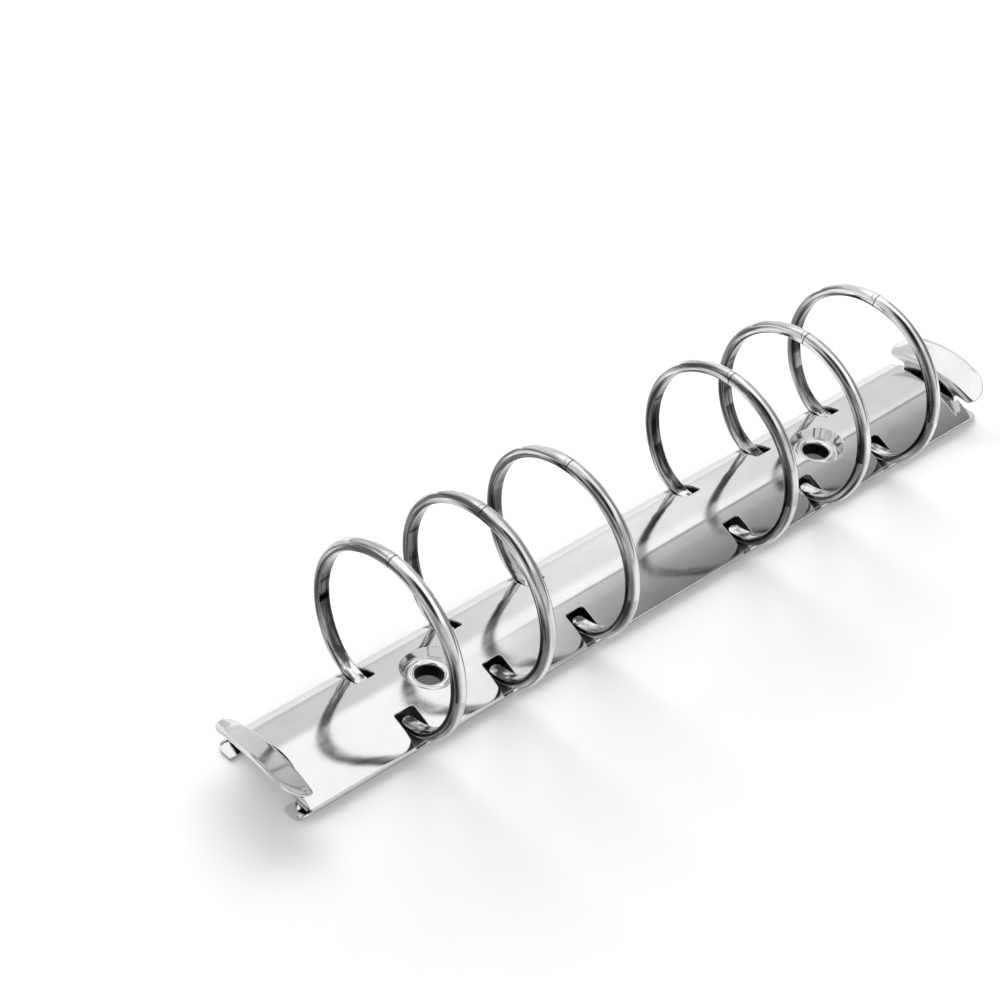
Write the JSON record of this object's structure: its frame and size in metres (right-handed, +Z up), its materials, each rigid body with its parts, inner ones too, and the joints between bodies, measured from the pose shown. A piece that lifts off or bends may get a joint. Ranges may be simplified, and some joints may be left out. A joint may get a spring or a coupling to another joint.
{
  "type": "ring binder mechanism",
  "caption": "Metal ring binder mechanism: an arched sheet cover holds two hinge plates with split round rings, opened by a thumb lever at each end.",
  "frame": {"origin": "centre of the footprint on the surface that the mechanism stands on", "axes": "+X runs along the mechanism through its two mounting holes, +Y across it toward the back rings, +Z up out of the mounting holes"},
  "size_m": [0.1716, 0.0354, 0.0335],
  "materials": {
    "cover_plate": "bright nickel plating on thin spring steel sheet",
    "eyelet_metal": "bright nickel plating on a drawn eyelet",
    "hinge_metal": "nickel plating on pressed steel sheet",
    "lever_metal": "bright nickel plating on pressed steel sheet",
    "ring_metal": "bright nickel plating on half-round steel wire"
  },
  "bodies": {
    "frame": {"cover": "cover_plate", "eyelet_left": "eyelet_metal", "eyelet_right": "eyelet_metal"},
    "front_rings": {"front_hinge_plate": "hinge_metal", "front_half_ring_1": "ring_metal", "front_half_ring_2": "ring_metal", "front_half_ring_3": "ring_metal", "front_half_ring_4": "ring_metal", "front_half_ring_5": "ring_metal", "front_half_ring_6": "ring_metal"},
    "back_rings": {"back_hinge_plate": "hinge_metal", "back_half_ring_1": "ring_metal", "back_half_ring_2": "ring_metal", "back_half_ring_3": "ring_metal", "back_half_ring_4": "ring_metal", "back_half_ring_5": "ring_metal", "back_half_ring_6": "ring_metal"},
    "left_lever": {"left_lever": "lever_metal"},
    "right_lever": {"right_lever": "lever_metal"}
  },
  "joints": [
    {"name": "front_rings_open", "type": "hinge", "parent": "frame", "child": "front_rings", "pos_m": [0, -0.0097, 0.00075], "axis": [1, 0, 0], "range_deg": [0, 14.5]},
    {"name": "back_rings_open", "type": "hinge", "parent": "frame", "child": "back_rings", "pos_m": [0, 0.0097, 0.00075], "axis": [-1, 0, 0], "range_deg": [0, 14.5]},
    {"name": "left_lever_tilt", "type": "hinge", "parent": "frame", "child": "left_lever", "pos_m": [-0.08025, 0, 0.00083], "axis": [0, -1, 0], "range_deg": [0, 28]},
    {"name": "right_lever_tilt", "type": "hinge", "parent": "frame", "child": "right_lever", "pos_m": [0.08025, 0, 0.00083], "axis": [0, 1, 0], "range_deg": [0, 28]}
  ],
  "couplings": [
    {"joint": "back_rings_open", "follows": "front_rings_open", "ratio": 1},
    {"joint": "left_lever_tilt", "follows": "front_rings_open", "ratio": 1.93},
    {"joint": "right_lever_tilt", "follows": "front_rings_open", "ratio": 1.93}
  ]
}
